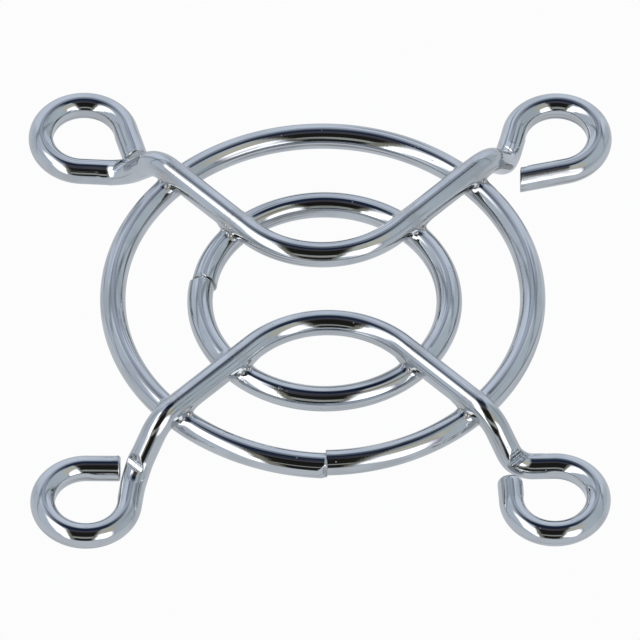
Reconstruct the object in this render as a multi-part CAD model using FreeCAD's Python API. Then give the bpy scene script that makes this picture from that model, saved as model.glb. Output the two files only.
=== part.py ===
import FreeCAD, Part
import math
import os

from FreeCAD import Vector

# Wire fan guard for a 40 mm square fan: two round wire rings, welded under two V-shaped wire legs
# whose ends are curled into four open eyes for the fan's screws.
# Millimetres. The origin is the middle of the hole pattern, in the plane that the eyes rest on.
# +Z points from the fan's face out to the legs, and +Y is the guard's rear side.

# Wire, hole pattern and eyes
WIRE_D = 1.75
HOLE_PITCH = 32.0
SCREW_HOLE_D = 4.3
LAND_DEPTH = 0.09          # the forming pin rubs this much of a flat land inside each eye

# Rings, measured to the middle of the wire
OUTER_RING_D = 28.72
INNER_RING_D = 17.05
RING_LIFT = 2.17           # from the middle of the eyes' wire up to the middle of the rings' wire
OUTER_RING_SHIFT = (0.05, 0.06)
INNER_RING_SHIFT = (0.18, -0.2)
OUTER_SEAM_ANGLE = 270.8
INNER_SEAM_ANGLE = 169.4
SEAM_GAP = 0.1             # groove left where a ring's two ends are butted and welded
SEAM_CORE_D = 1.3          # metal that joins the two ends inside the groove
OUTER_SEAM_STEP = -0.28    # how much further in the second end stands than the first
INNER_SEAM_STEP = 0.15
SEAM_LEAD_ANGLE = 40.0     # stretch of ring over which the second end leaves the circle

# Legs
WELD_SETDOWN = 0.6         # how far a weld lets a leg sink into a ring
APEX_BEND_R = 7.2
SHOULDER_MARGIN = 1.7      # from the outer ring's wire to the shoulder, along the leg
SHOULDER_BEND_R = 2.6
CRIMP_BEND_R = 2.6
CRIMP_NOSE = 0.32          # width of the bending tool's nose, which nicks the bend at each eye
CRIMP_ANGLE = 70.0
REAR_LEG_SHIFT = 0.0
FRONT_LEG_SHIFT = 0.4      # this leg is welded on a little to the right

# Squeezed-out metal beside each weld
FLASH_D = 0.5
SMALL_FLASH_D = 0.36
FLASH_SPREAD = 0.3         # from the middle of the ring to each bead, along the leg

WIRE_R = WIRE_D / 2
EYE_Z = WIRE_R
RING_Z = EYE_Z + RING_LIFT
LEG_Z = RING_Z + WIRE_D - WELD_SETDOWN
EYE_BEND_R = SCREW_HOLE_D / 2 - LAND_DEPTH + WIRE_R
UP = Vector(0, 0, 1)


class Corner:
    """One curled eye as it was bent. All four are one form, turned by quarter turns.

    Sizes are for the rear right eye: the others are turned clockwise about the guard's middle.
    """

    def __init__(self, turns, shift, shoulder, crimp, end_angle, tail, nick):
        self.turns = turns            # quarter turns clockwise from the rear right corner
        self.shift = Vector(*shift)   # how far the eye stands off its place in the pattern
        self.shoulder = shoulder      # how far the shoulder stands off its place along the leg
        self.crimp = Vector(*crimp)   # from the eye's middle to where the wire leaves the fan's face
        self.end_angle = end_angle    # where round the eye its curl ends
        self.tail = tail              # straight wire from there to the cropped end
        # The bending tool's nick: its depth, how far up the leg it stands, how far the tool leant to the eye
        self.nick_depth, self.nick_place, self.nose_lean = nick

    def centre(self):
        half = HOLE_PITCH / 2
        return Vector(half, half, EYE_Z) + self.shift

    def turned(self, point):
        """A place near the rear right corner, turned to this corner of the guard."""
        return FreeCAD.Rotation(UP, -90 * self.turns).multVec(point)


REAR_RIGHT = Corner(0, (0.15, -0.05), 0.1, (-3.5, -2.15), -76.5, 3.3, (0.17, 0.0, 0.0))
FRONT_RIGHT = Corner(1, (-0.2, -0.15), -0.4, (-2.85, -2.65), -86.0, 1.95, (0.26, 0.0, 10.0))
FRONT_LEFT = Corner(2, (0.05, 0.0), 0.1, (-3.3, -2.45), -90.5, 2.3, (0.26, 0.36, 14.0))
REAR_LEFT = Corner(3, (0.0, 0.4), -0.1, (-3.1, -2.85), -74.0, 2.85, (0.26, 0.0, 0.0))


def on_circle(centre, radius, degrees):
    angle = math.radians(degrees)
    return centre + Vector(radius * math.cos(angle), radius * math.sin(angle), 0)


def line(a, b):
    return Part.LineSegment(a, b).toShape()


def arc(a, middle, b):
    return Part.Arc(a, middle, b).toShape()


def bend(before, corner, after, radius):
    """The arc that rounds a corner between two straight runs, no larger than the runs allow."""
    back = (before - corner).normalize()
    on = (after - corner).normalize()
    half = back.getAngle(on) / 2
    shorter = min((before - corner).Length, (after - corner).Length)
    radius = min(radius, 0.48 * shorter * math.tan(half))
    run = radius / math.tan(half)
    inward = (back + on).normalize()
    start = corner + back * run
    end = corner + on * run
    middle = corner + inward * (radius / math.sin(half) - radius)
    return start, middle, end


def bent_path(points, radii):
    """Edges of straight runs joined by bends: one radius for each point between the two ends."""
    edges = []
    here = points[0]
    for before, corner, after, radius in zip(points, points[1:], points[2:], radii):
        start, middle, end = bend(before, corner, after, radius)
        edges += [line(here, start), arc(start, middle, end)]
        here = end
    return edges + [line(here, points[-1])]


def tube(edges):
    """Round wire swept along a path, with square ends."""
    path = Part.Wire(edges)
    first = edges[0]
    start = first.valueAt(first.FirstParameter)
    along = first.tangentAt(first.FirstParameter)
    section = Part.Wire([Part.makeCircle(WIRE_R, start, along)])
    return path.makePipeShell([section], True, False)


def eye_entry_angle(corner):
    """Where round the eye the straight wire from the crimp meets the curl."""
    to_crimp = math.degrees(math.atan2(corner.crimp.y, corner.crimp.x)) % 360
    return to_crimp - math.degrees(math.acos(EYE_BEND_R / corner.crimp.Length))


def eye_curl(corner):
    """The curl and its tail, from the entry to the cropped end, in the corner's own place."""
    centre = corner.centre()
    entry = eye_entry_angle(corner)
    end = corner.end_angle
    places = [on_circle(centre, EYE_BEND_R, entry + (end - entry) * k / 4) for k in range(5)]
    tail_way = on_circle(Vector(), 1.0, end - 90)
    cropped = places[4] + tail_way * corner.tail
    places = [corner.turned(p) for p in places + [cropped]]
    return places


def curl_edges(places):
    first = arc(places[0], places[1], places[2])
    second = arc(places[2], places[3], places[4])
    return [first, second, line(places[4], places[5])]


def reverse_curl_edges(places):
    second = arc(places[4], places[3], places[2])
    first = arc(places[2], places[1], places[0])
    return [line(places[5], places[4]), second, first]


def shoulder_point(corner, apex):
    """Where the leg starts down to the eye: on the leg's diagonal, just outside the outer ring."""
    reach = OUTER_RING_D / 2 + SHOULDER_MARGIN + corner.shoulder
    diagonal = corner.turned(Vector(1, 1, 0)).normalize()
    return apex + diagonal * reach


def crimp_point(corner):
    return corner.turned(corner.centre() + corner.crimp)


def leg_points(left, right, shift):
    """Corners of the straight runs of one leg, from the left eye's entry to the right eye's."""
    apex = Vector(shift, 0, LEG_Z)
    left_entry = eye_curl(left)[0]
    right_entry = eye_curl(right)[0]
    return [left_entry, crimp_point(left), shoulder_point(left, apex), apex,
            shoulder_point(right, apex), crimp_point(right), right_entry]


def leg_path(left, right, shift):
    radii = [CRIMP_BEND_R, SHOULDER_BEND_R, APEX_BEND_R, SHOULDER_BEND_R, CRIMP_BEND_R]
    run = bent_path(leg_points(left, right, shift), radii)
    return reverse_curl_edges(eye_curl(left)) + run + curl_edges(eye_curl(right))


def crimp_nick(corner, shift):
    """The blunt wedge that is cut from the inside of the bend where the wire rises from the eye."""
    apex = Vector(shift, 0, LEG_Z)
    entry = eye_curl(corner)[0]
    start, middle, end = bend(entry, crimp_point(corner), shoulder_point(corner, apex), CRIMP_BEND_R)
    across = corner.turned(Vector(1, -1, 0)).normalize()
    out = (start + end) * 0.5 - middle
    out = (out - across * out.dot(across)).normalize()
    out = FreeCAD.Rotation(across, -corner.nose_lean).multVec(out)
    along = across.cross(out)
    valley = middle + out * (WIRE_R - corner.nick_depth) + along * corner.nick_place
    half_nose = along * (CRIMP_NOSE / 2)
    half_rim = half_nose + along * (WIRE_D * math.tan(math.radians(CRIMP_ANGLE / 2)))
    rim = valley + out * WIRE_D
    corners = [valley - half_nose, valley + half_nose, rim + half_rim, rim - half_rim]
    corners = [c - across * WIRE_D for c in corners]
    face = Part.Face(Part.makePolygon(corners + corners[:1]))
    return face.extrude(across * (2 * WIRE_D))


def screw_land(corner):
    """The round pin that the eye is curled on, which leaves its land inside the eye."""
    centre = corner.turned(corner.centre())
    centre.z = 0
    return Part.makeCylinder(SCREW_HOLE_D / 2, WIRE_D, centre, UP)


def leg(left, right, shift):
    wire = tube(leg_path(left, right, shift))
    tools = [crimp_nick(left, shift), crimp_nick(right, shift), screw_land(left), screw_land(right)]
    return wire.cut(tools)


def ring_wire(mean_d, centre, seam_angle, step):
    """A ring bent from one length of wire, its ends butted at the seam, the second one out of line."""
    radius = mean_d / 2
    half_gap = math.degrees(SEAM_GAP / 2 / radius)
    start_angle = seam_angle + half_gap
    lead_angle = seam_angle + 360 - SEAM_LEAD_ANGLE
    end_angle = seam_angle + 360 - half_gap
    drawn = step / (1 - math.cos(math.radians(SEAM_LEAD_ANGLE)))
    lead_centre = on_circle(centre, drawn, lead_angle)
    lead_radius = radius - drawn
    swing = math.radians(end_angle - lead_angle)
    lead_end = lead_angle + math.degrees(swing + math.asin(drawn * math.sin(swing) / lead_radius))
    middle_angle = (start_angle + lead_angle) / 2
    quarter_angle = (start_angle + middle_angle) / 2
    three_quarter_angle = (middle_angle + lead_angle) / 2
    spots = [on_circle(centre, radius, a) for a in (start_angle, quarter_angle, middle_angle,
                                                    three_quarter_angle, lead_angle)]
    lead_middle = on_circle(lead_centre, lead_radius, (lead_angle + lead_end) / 2)
    lead_stop = on_circle(lead_centre, lead_radius, lead_end)
    edges = [arc(*spots[:3]), arc(*spots[2:]), arc(spots[4], lead_middle, lead_stop)]
    return tube(edges).fuse(seam_core(mean_d - step, centre, seam_angle))


def seam_core(mean_d, centre, seam_angle):
    along = on_circle(Vector(), 1.0, seam_angle + 90)
    length = SEAM_GAP + WIRE_R
    middle = on_circle(centre, mean_d / 2, seam_angle)
    return Part.makeCylinder(SEAM_CORE_D / 2, length, middle - along * (length / 2), along)


def crossing(mean_d, centre, corner, shift):
    """Where a leg's middle line passes over a ring's, at the ring's height."""
    apex = Vector(shift, 0, RING_Z)
    way = corner.turned(Vector(1, 1, 0)).normalize()
    off = apex - centre
    b = off.dot(way)
    reach = -b + math.sqrt(b * b - off.dot(off) + (mean_d / 2) ** 2)
    return apex + way * reach, way


def weld_flash(mean_d, centre, corner, shift):
    """Beads of metal squeezed up on both sides of one weld, in the crevice beside the leg."""
    place, leg_way = crossing(mean_d, centre, corner, shift)
    ring_way = UP.cross(place - centre).normalize()
    half_width = math.sqrt(WIRE_R ** 2 - (WIRE_R - WELD_SETDOWN) ** 2)
    beads = []
    for side in (-1, 1):
        for size, spread in ((FLASH_D, -FLASH_SPREAD), (SMALL_FLASH_D, FLASH_SPREAD)):
            out = ring_way * (side * (half_width + size / 4))
            height = math.sqrt(WIRE_R ** 2 - spread ** 2)
            bead = place + out + leg_way * (spread * side) + UP * height
            beads.append(Part.makeSphere(size / 2, bead))
    return beads


def ring(mean_d, shift, seam_angle, step, legs):
    """A ring with its seam and weld flash, seated into the undersides of both legs."""
    centre = Vector(*shift, RING_Z)
    wire = ring_wire(mean_d, centre, seam_angle, step)
    beads = []
    for corners, leg_shift in LEG_CORNERS:
        for corner in corners:
            beads += weld_flash(mean_d, centre, corner, leg_shift)
    return wire.fuse(beads).cut(legs)


LEG_CORNERS = (((REAR_LEFT, REAR_RIGHT), REAR_LEG_SHIFT), ((FRONT_RIGHT, FRONT_LEFT), FRONT_LEG_SHIFT))


def build():
    rear_leg = leg(REAR_LEFT, REAR_RIGHT, REAR_LEG_SHIFT)
    front_leg = leg(FRONT_RIGHT, FRONT_LEFT, FRONT_LEG_SHIFT)
    legs = [rear_leg, front_leg]
    return {
        "outer_ring": ring(OUTER_RING_D, OUTER_RING_SHIFT, OUTER_SEAM_ANGLE, OUTER_SEAM_STEP, legs),
        "inner_ring": ring(INNER_RING_D, INNER_RING_SHIFT, INNER_SEAM_ANGLE, INNER_SEAM_STEP, legs),
        "rear_leg": rear_leg,
        "front_leg": front_leg,
    }


os.makedirs("parts", exist_ok=True)
for name, shape in build().items():
    print(name, len(shape.Solids), shape.isValid(), round(shape.Volume, 2))
    shape.exportStep("parts/" + name + ".step")
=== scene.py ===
import math

import bpy
import numpy as np
from mathutils import Matrix, Vector


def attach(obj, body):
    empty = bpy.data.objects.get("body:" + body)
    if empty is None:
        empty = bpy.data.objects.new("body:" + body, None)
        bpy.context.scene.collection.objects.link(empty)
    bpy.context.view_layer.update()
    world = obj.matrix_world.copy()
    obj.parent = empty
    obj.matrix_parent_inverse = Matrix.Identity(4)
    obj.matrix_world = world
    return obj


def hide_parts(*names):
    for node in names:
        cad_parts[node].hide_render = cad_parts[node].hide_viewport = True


# Dresses the wire fan guard: bright chrome wire bent, pressed, cropped and welded as the real one is.
# Metres. The wires follow the same lines as the part's source, and sizes are named once here.

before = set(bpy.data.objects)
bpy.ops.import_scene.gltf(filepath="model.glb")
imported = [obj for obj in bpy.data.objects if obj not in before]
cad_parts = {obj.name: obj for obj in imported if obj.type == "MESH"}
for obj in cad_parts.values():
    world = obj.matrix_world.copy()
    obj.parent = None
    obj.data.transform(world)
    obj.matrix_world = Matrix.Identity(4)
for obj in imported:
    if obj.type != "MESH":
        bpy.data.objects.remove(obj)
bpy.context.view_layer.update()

MM = 0.001

# Wire, hole pattern and eyes
WIRE_D = 1.75 * MM
HOLE_PITCH = 32.0 * MM
SCREW_HOLE_D = 4.3 * MM
LAND_DEPTH = 0.09 * MM

# Rings, measured to the middle of the wire
OUTER_RING_D = 28.72 * MM
INNER_RING_D = 17.05 * MM
RING_LIFT = 2.17 * MM
OUTER_RING_SHIFT = (0.05 * MM, 0.06 * MM)
INNER_RING_SHIFT = (0.18 * MM, -0.2 * MM)
OUTER_SEAM_ANGLE = 270.8
INNER_SEAM_ANGLE = 169.4
SEAM_GAP = 0.1 * MM
SEAM_CORE_D = 1.3 * MM
OUTER_SEAM_STEP = -0.28 * MM
INNER_SEAM_STEP = 0.15 * MM
SEAM_LEAD_ANGLE = 40.0

# Legs
WELD_SETDOWN = 0.6 * MM
APEX_BEND_R = 7.2 * MM
SHOULDER_MARGIN = 1.7 * MM
SHOULDER_BEND_R = 2.6 * MM
CRIMP_BEND_R = 2.6 * MM
CRIMP_NOSE = 0.32 * MM
CRIMP_ANGLE = 70.0
REAR_LEG_SHIFT = 0.0
FRONT_LEG_SHIFT = 0.4 * MM

# Squeezed-out metal beside each weld
FLASH_D = 0.5 * MM
SMALL_FLASH_D = 0.36 * MM
FLASH_SPREAD = 0.3 * MM

WIRE_R = WIRE_D / 2
EYE_Z = WIRE_R
RING_Z = EYE_Z + RING_LIFT
LEG_Z = RING_Z + WIRE_D - WELD_SETDOWN
EYE_BEND_R = SCREW_HOLE_D / 2 - LAND_DEPTH + WIRE_R
FLANK_SLOPE = 1 / math.tan(math.radians(CRIMP_ANGLE / 2))

# Marks of the tools, too fine for the part's source
RIDGE_PITCH = 0.17 * MM
SLANT_REACH = 0.7 * MM
LEG_NOSE = {"Nose": CRIMP_NOSE, "Flank Behind": FLANK_SLOPE, "Soft Edge": 0.04 * MM, "Spread": 0.05,
            "Reach": 0.7 * MM}
SEAM_NOSE = {"Nose": 0.03 * MM, "Ridges": 0.0, "Soft Edge": 0.03 * MM, "Spread": 0.0, "Reach": 0.7 * MM}
RING_ENDS = {
    "outer_ring": {"reach": (0.04 * MM, 0.2 * MM), "round": (0.03 * MM, 0.26 * MM), "slant": 0.0},
    "inner_ring": {"reach": (0.0, 0.02 * MM), "round": (0.06 * MM, 0.05 * MM), "slant": 0.22},
}
SEAM_NICKS = {
    "outer_ring": {"angle": 270.6, "tilt": -5.0, "depth": 0.13 * MM, "ahead": 1.5, "behind": 0.8},
    "inner_ring": {"angle": 169.5, "tilt": 60.0, "depth": 0.3 * MM, "ahead": 1.5, "behind": 0.85},
}

# Weld metal drawn up into the crevices: how far it reaches, and how uneven and how thick it is
LEG_FILLET = 0.75 * MM
RING_FILLET = 0.5 * MM
FILLET_LUMPS_PER_METRE = 1700.0
FILLET_LEAST, FILLET_UNEVEN = 0.3, 1.4
FILLET_RISE = 0.25

# Beads of weld metal, and specks of plating in rough patches: each patch's angle and reach in mm
BEAD_LUMPINESS = 0.05 * MM
BEAD_LUMPS_PER_METRE = 4500.0
FIRST_BEAD_SEED = 7
ROUGH_PATCHES = {"outer_ring": [(63.5, 0.9), (312.0, 0.7)], "inner_ring": [(250.0, 1.5), (13.0, 0.6)]}
SPECK_SIZE = 0.09 * MM
SPECK_FLATNESS = 0.45
SMALLEST_SPECK = 0.35
SPECKS_PER_SQUARE_METRE = 1.6e7

# How finely the wires are drawn
LONG_STEP = 0.13 * MM
FINE_STEP = 0.035 * MM
FINE_REACH = 1.3 * MM
DENSE_STEP = 0.01 * MM
ARC_POINTS = 200
CURL_POINTS = 400
RING_POINTS = 3000
CORE_POINTS = 12
WIRE_SIDES = 88
SHARP_FOLD = 0.6
BEND_ROOM = 0.48
END_NARROWING = 4
LEVEL = (1.0, 1.0, 0.0)

# The die's wavering, and how much further along the pattern of die lines starts on each wire
DRAWN_WIRE = {"Wire Diameter": WIRE_D, "Sides": WIRE_SIDES, "Waver": 0.004 * MM, "Waver Length": 1.6 * MM}
WAVER_STRETCH = (0.35, 1.0, 1.0)
WIRE_APART = 0.7


class Corner:
    """One curled eye as it was bent, in mm, for the rear right corner, and the quarter turns to its own."""

    def __init__(self, turns, shift, shoulder, crimp, end_angle, tail, nick, end_round, ridges,
                 end_slant=0.0, leg_flank=1.0):
        self.turns = turns
        self.shift = np.array([*shift, 0.0]) * MM
        self.shoulder = shoulder * MM
        self.crimp = np.array([*crimp, 0.0]) * MM
        self.end_angle = end_angle
        self.tail = tail * MM
        self.nick_depth, self.nick_place = nick[0] * MM, nick[1] * MM
        self.nose_lean = math.radians(nick[2])
        self.end_round = end_round * MM
        self.end_slant = end_slant
        self.ridges = ridges * MM
        self.leg_flank = leg_flank

    def centre(self):
        half = HOLE_PITCH / 2
        return np.array([half, half, EYE_Z]) + self.shift

    def turned(self, points):
        """Places near the rear right corner, turned clockwise to this corner of the guard."""
        return np.asarray(points) @ np.array(Matrix.Rotation(math.radians(-90 * self.turns), 3, "Z")).T


REAR_RIGHT = Corner(
    turns=0, shift=(0.15, -0.05), shoulder=0.1, crimp=(-3.5, -2.15), end_angle=-76.5,
    tail=3.3, nick=(0.17, 0.0, 0.0), end_round=0.05, ridges=0.003, end_slant=0.24)
FRONT_RIGHT = Corner(
    turns=1, shift=(-0.2, -0.15), shoulder=-0.4, crimp=(-2.85, -2.65), end_angle=-86.0,
    tail=1.95, nick=(0.26, 0.0, 10.0), end_round=0.42, ridges=0.014)
FRONT_LEFT = Corner(
    turns=2, shift=(0.05, 0.0), shoulder=0.1, crimp=(-3.3, -2.45), end_angle=-90.5,
    tail=2.3, nick=(0.26, 0.36, 14.0), end_round=0.16, ridges=0.0015, leg_flank=0.76)
REAR_LEFT = Corner(
    turns=3, shift=(0.0, 0.4), shoulder=-0.1, crimp=(-3.1, -2.85), end_angle=-74.0,
    tail=2.85, nick=(0.26, 0.0, 0.0), end_round=0.1, ridges=0.005)
LEGS = {
    "rear_leg": (REAR_LEFT, REAR_RIGHT, REAR_LEG_SHIFT),
    "front_leg": (FRONT_RIGHT, FRONT_LEFT, FRONT_LEG_SHIFT),
}
RINGS = {
    "outer_ring": (OUTER_RING_D, OUTER_RING_SHIFT, OUTER_SEAM_ANGLE, OUTER_SEAM_STEP),
    "inner_ring": (INNER_RING_D, INNER_RING_SHIFT, INNER_SEAM_ANGLE, INNER_SEAM_STEP),
}


# Lines that the wires follow

def unit(v):
    return v / np.linalg.norm(v)


def level_arc(centre, radius, start, end, count=CURL_POINTS):
    """Points round a level circle from one angle to another, in degrees."""
    angles = np.radians(np.linspace(start, end, count))
    ring = np.stack([np.cos(angles), np.sin(angles), np.zeros(count)], axis=1)
    return centre + radius * ring


def bend(before, corner, after, radius):
    """The arc that rounds a corner between two straight runs: its start, middle, end and all its points."""
    back, on = unit(before - corner), unit(after - corner)
    half = math.acos(np.clip(back @ on, -1, 1)) / 2
    shorter = min(np.linalg.norm(before - corner), np.linalg.norm(after - corner))
    radius = min(radius, BEND_ROOM * shorter * math.tan(half))
    run = radius / math.tan(half)
    hub = corner + unit(back + on) * (radius / math.sin(half))
    start, end = corner + back * run, corner + on * run
    swing = math.pi - 2 * half
    share = np.linspace(0, 1, ARC_POINTS)[:, None]
    points = hub + (np.sin((1 - share) * swing) * (start - hub)
                    + np.sin(share * swing) * (end - hub)) / math.sin(swing)
    return start, points[ARC_POINTS // 2], end, points


def eye_entry_angle(corner):
    to_crimp = math.degrees(math.atan2(corner.crimp[1], corner.crimp[0])) % 360
    return to_crimp - math.degrees(math.acos(EYE_BEND_R / np.linalg.norm(corner.crimp)))


def eye_curl(corner):
    """The curl and its tail, from the entry to the cropped end."""
    points = level_arc(corner.centre(), EYE_BEND_R, eye_entry_angle(corner), corner.end_angle)
    way = math.radians(corner.end_angle - 90)
    cropped = points[-1] + corner.tail * np.array([math.cos(way), math.sin(way), 0.0])
    return corner.turned(np.vstack([points, cropped]))


def outward_way(corner):
    """The way from the middle of the guard to one of its corners."""
    return corner.turned(unit(np.array([1.0, 1.0, 0.0])))


def leg_apex(shift):
    return np.array([shift, 0.0, LEG_Z])


def shoulder_point(corner, apex):
    return apex + outward_way(corner) * (OUTER_RING_D / 2 + SHOULDER_MARGIN + corner.shoulder)


def crimp_point(corner):
    return corner.turned(corner.centre() + corner.crimp)


def leg_line(left, right, shift):
    """The whole middle line of one leg, from one cropped end to the other."""
    apex = leg_apex(shift)
    left_curl, right_curl = eye_curl(left), eye_curl(right)
    corners = [left_curl[0], crimp_point(left), shoulder_point(left, apex), apex,
               shoulder_point(right, apex), crimp_point(right), right_curl[0]]
    radii = [CRIMP_BEND_R, SHOULDER_BEND_R, APEX_BEND_R, SHOULDER_BEND_R, CRIMP_BEND_R]
    bends = [bend(*corners[k:k + 3], radii[k])[3] for k in range(5)]
    return np.vstack([left_curl[::-1], *bends, right_curl])


def ring_middle(shift, height=RING_Z):
    return np.array([*shift, height])


def ring_line(mean_d, shift, seam_angle, step, reach):
    """The middle line of one ring, from one side of its seam round to the other, which stands out of line."""
    radius = mean_d / 2
    centre = ring_middle(shift)
    half_gap = math.degrees(SEAM_GAP / 2 / radius)
    lead_angle = seam_angle + 360 - SEAM_LEAD_ANGLE
    end_angle = seam_angle + 360 - half_gap + math.degrees(reach[1] / radius)
    start_angle = seam_angle + half_gap - math.degrees(reach[0] / radius)
    drawn = step / (1 - math.cos(math.radians(SEAM_LEAD_ANGLE)))
    lead_centre = level_arc(centre, drawn, lead_angle, lead_angle, 1)[0]
    lead_radius = radius - drawn
    swing = math.radians(end_angle - lead_angle)
    lead_end = lead_angle + math.degrees(swing + math.asin(drawn * math.sin(swing) / lead_radius))
    round_it = level_arc(centre, radius, start_angle, lead_angle, RING_POINTS)
    return np.vstack([round_it, level_arc(lead_centre, lead_radius, lead_angle, lead_end)[1:]])


def seam_core_line(mean_d, shift, seam_angle):
    """The short length of metal that fills the groove of a seam."""
    middle = level_arc(ring_middle(shift), mean_d / 2, seam_angle, seam_angle, 1)[0]
    turn = math.radians(seam_angle + 90)
    along = np.array([math.cos(turn), math.sin(turn), 0.0])
    half = (SEAM_GAP + WIRE_R) / 2
    return np.linspace(middle - along * half, middle + along * half, CORE_POINTS)


def crossing(mean_d, shift, corner, leg_shift):
    """Where a leg passes over a ring, at the ring's height, and the leg's way there."""
    centre = ring_middle(shift)
    apex = np.array([leg_shift, 0.0, RING_Z])
    way = outward_way(corner)
    off = apex - centre
    b = off @ way
    return apex + way * (-b + math.sqrt(b * b - off @ off + (mean_d / 2) ** 2)), way, centre


def bead_places(mean_d, shift):
    """Places and sizes of the beads of metal in the crevices of one ring's four welds."""
    half_width = math.sqrt(WIRE_R ** 2 - (WIRE_R - WELD_SETDOWN) ** 2)
    places, sizes = [], []
    for left, right, leg_shift in LEGS.values():
        for corner in (left, right):
            place, leg_way, centre = crossing(mean_d, shift, corner, leg_shift)
            ring_way = unit(np.cross([0, 0, 1], place - centre))
            for side in (-1, 1):
                for size, spread in ((FLASH_D, -FLASH_SPREAD), (SMALL_FLASH_D, FLASH_SPREAD)):
                    out = ring_way * (side * (half_width + size / 4))
                    up = np.array([0, 0, math.sqrt(WIRE_R ** 2 - spread ** 2)])
                    places.append(place + out + leg_way * (spread * side) + up)
                    sizes.append(size)
    return places, sizes


def stations(line, fine_places):
    """Picks the places along a line where the wire's section is set: close together where it was worked."""
    steps = np.linalg.norm(np.diff(line, axis=0), axis=1)
    length = np.concatenate([[0], np.cumsum(steps)])
    dense = np.linspace(0, length[-1], int(length[-1] / DENSE_STEP))
    points = np.stack([np.interp(dense, length, line[:, k]) for k in range(3)], axis=1)
    near = np.full(len(points), 1.0)
    for place in fine_places:
        near = np.minimum(near, np.linalg.norm(points - place, axis=1))
    near = np.minimum(near, np.minimum(dense, length[-1] - dense) * END_NARROWING)
    step = np.where(near < FINE_REACH, FINE_STEP, LONG_STEP)
    count = np.concatenate([[0], np.cumsum(np.diff(dense) / step[1:])])
    wanted = np.interp(np.linspace(0, count[-1], int(count[-1]) + 1), count, dense)
    return np.stack([np.interp(wanted, length, line[:, k]) for k in range(3)], axis=1), wanted


# Node trees

class Nodes:
    """A node tree being built, with short ways to add its nodes and join them."""

    def __init__(self, tree):
        self.tree = tree

    def put(self, socket, value):
        if isinstance(value, bpy.types.NodeSocket):
            self.tree.links.new(value, socket)
        else:
            socket.default_value = value

    def add(self, kind, inputs=None, **settings):
        node = self.tree.nodes.new(kind)
        for name, value in settings.items():
            setattr(node, name, value)
        for name, value in (inputs or {}).items():
            self.put(node.inputs[name], value)
        return node

    def math(self, operation, *values):
        node = self.add("ShaderNodeMath", operation=operation)
        for socket, value in zip(node.inputs, values):
            self.put(socket, value)
        return node.outputs[0]

    def plus(self, a, b):
        return self.math("ADD", a, b)

    def minus(self, a, b):
        return self.math("SUBTRACT", a, b)

    def times(self, a, b):
        return self.math("MULTIPLY", a, b)

    def over(self, a, b):
        return self.math("DIVIDE", a, b)

    def above(self, a, b):
        return self.math("GREATER_THAN", a, b)

    def below(self, a, b):
        return self.math("LESS_THAN", a, b)

    def vector(self, operation, *values):
        node = self.add("ShaderNodeVectorMath", operation=operation)
        sockets = [node.inputs[0], node.inputs["Scale"]] if operation == "SCALE" else node.inputs
        for socket, value in zip(sockets, values):
            self.put(socket, value)
        return node.outputs["Value" if operation in ("DOT_PRODUCT", "LENGTH") else "Vector"]

    def scaled(self, v, size):
        return self.vector("SCALE", v, size)

    def here(self):
        return self.add("GeometryNodeInputPosition").outputs[0]

    def clouds(self, place, seed, scale, detail):
        return self.add("ShaderNodeTexNoise", {"Vector": place, "W": seed, "Scale": scale, "Detail": detail},
                        noise_dimensions="4D").outputs[0]

    def attribute(self, name, kind="FLOAT"):
        node = self.add("GeometryNodeInputNamedAttribute", {"Name": name}, data_type=kind)
        return node.outputs["Attribute"]

    def stored(self, shape, name, value, kind, domain):
        return self.add("GeometryNodeStoreNamedAttribute", {"Geometry": shape, "Name": name, "Value": value},
                        data_type=kind, domain=domain).outputs[0]

    def realized(self, shape):
        return self.add("GeometryNodeRealizeInstances", {"Geometry": shape}).outputs[0]

    def smooth(self, shape):
        return self.add("GeometryNodeSetShadeSmooth", {"Geometry": shape, "Shade Smooth": True}).outputs[0]

    def moved(self, shape, offset, chosen=True):
        return self.add("GeometryNodeSetPosition", {
            "Geometry": shape, "Selection": chosen, "Offset": offset}).outputs[0]

    def lifted(self, shape, lift, chosen=True):
        """Moves a surface out along its own normals."""
        normal = self.add("GeometryNodeInputNormal").outputs[0]
        return self.moved(shape, self.scaled(normal, lift), chosen)

    def as_beads(self, shape):
        return self.stored(self.smooth(shape), "is_bead", True, "BOOLEAN", "FACE")


SOCKETS = {"length": "NodeSocketFloat", "number": "NodeSocketFloat", "count": "NodeSocketInt",
           "place": "NodeSocketVector", "way": "NodeSocketVector", "material": "NodeSocketMaterial"}
WIRE_INPUTS = [("Wire Diameter", "length"), ("Sides", "count"), ("Waver", "length"),
               ("Waver Length", "length"), ("Seed", "number")]
MARK_INPUTS = [("Valley", "place"), ("Outward", "way"), ("Along", "way"), ("Across", "way"),
               ("Ridges", "length"), ("Flank Ahead", "number")]
NOSE_INPUTS = [("Nose", "length"), ("Flank Behind", "number"), ("Soft Edge", "length"), ("Spread", "number"),
               ("Reach", "length")]
PIN_INPUTS = [("Pin Middle", "place")]
END_INPUTS = [("End Place", "place"), ("End Way", "way"), ("Slant", "number")]
RING_INPUTS = [("Ring Middle", "place"), ("Ring Radius", "length")]
ARM_INPUTS = [("Arm Start", "place"), ("Arm Way", "way")]
PATCH_INPUTS = [("Patch Middle", "place"), ("Patch Reach", "length")]
FILLET_INPUTS = [("Wire Diameter", "length"), ("Fillet", "length"), ("Seed", "number")]
FINISH_INPUTS = [("Wire Finish", "material"), ("Cut Finish", "material"), ("Bead Finish", "material")]


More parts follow.
